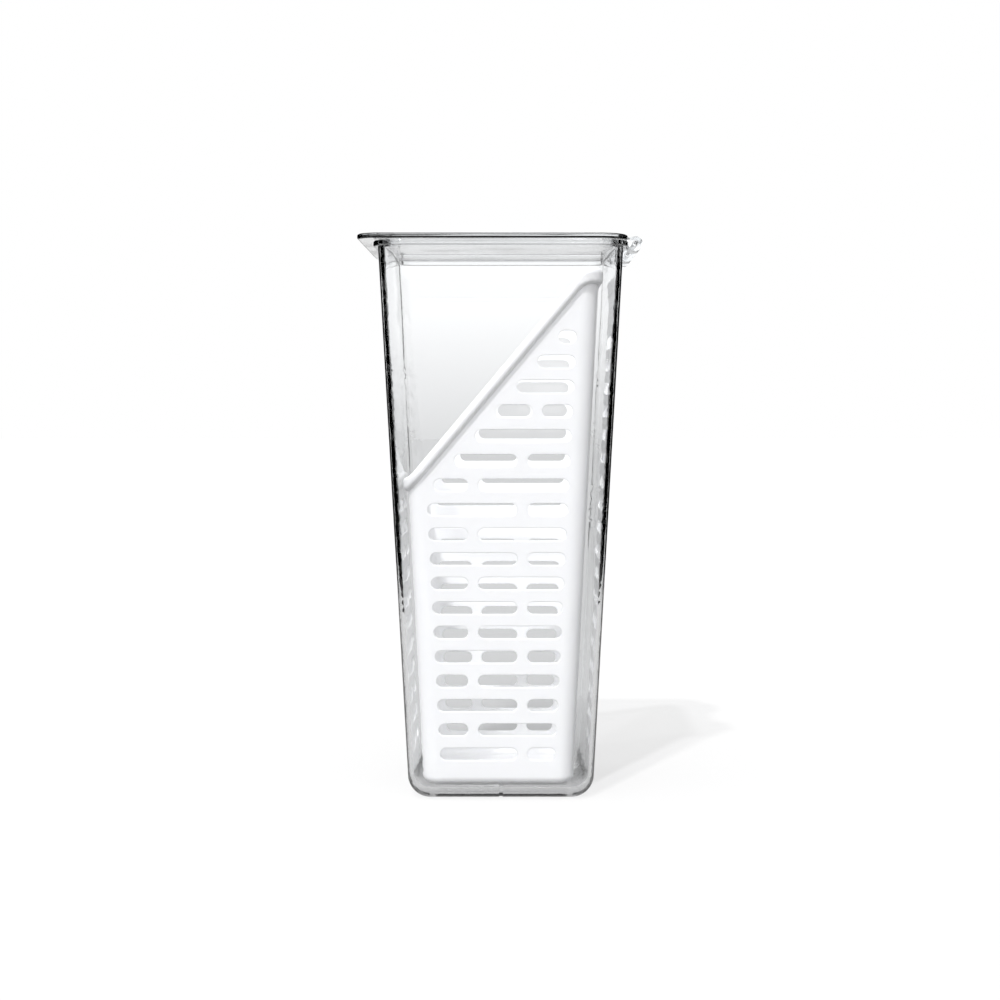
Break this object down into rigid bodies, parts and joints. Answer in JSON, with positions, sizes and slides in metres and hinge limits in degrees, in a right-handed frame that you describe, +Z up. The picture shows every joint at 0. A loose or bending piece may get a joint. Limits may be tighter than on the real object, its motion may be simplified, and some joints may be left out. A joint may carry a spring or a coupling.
{
  "type": "fridge storage bin with lid and basket",
  "caption": "Tall clear tapered fridge bin with a rim flange and hinged flat lid, holding a white perforated basket whose top edge is cut at a slant.",
  "frame": {"origin": "centre of the footprint, on the surface the bin stands on", "axes": "+Z up, +X towards the hinge, -X towards the lid's finger lip, Y across the depth"},
  "size_m": [0.1208, 0.1078, 0.24],
  "materials": {
    "clear_plastic": "clear, polished",
    "clear_lid_plastic": "clear, polished",
    "clear_pin_plastic": "clear, polished",
    "white_plastic": "satin moulded"
  },
  "bodies": {
    "bin": {"bin_body": "clear_plastic", "front_hinge_pin": "clear_pin_plastic", "rear_hinge_pin": "clear_pin_plastic"},
    "lid": {"lid": "clear_lid_plastic"},
    "basket": {"basket": "white_plastic"}
  },
  "joints": [
    {"name": "lid_hinge", "type": "hinge", "parent": "bin", "child": "lid", "pos_m": [0.0574, 0, 0.237], "axis": [0, 1, 0], "range_deg": [0, 110]},
    {"name": "basket_lift", "type": "slide", "parent": "bin", "child": "basket", "axis": [0, 0, 1], "range_m": [0, 0.008]}
  ]
}
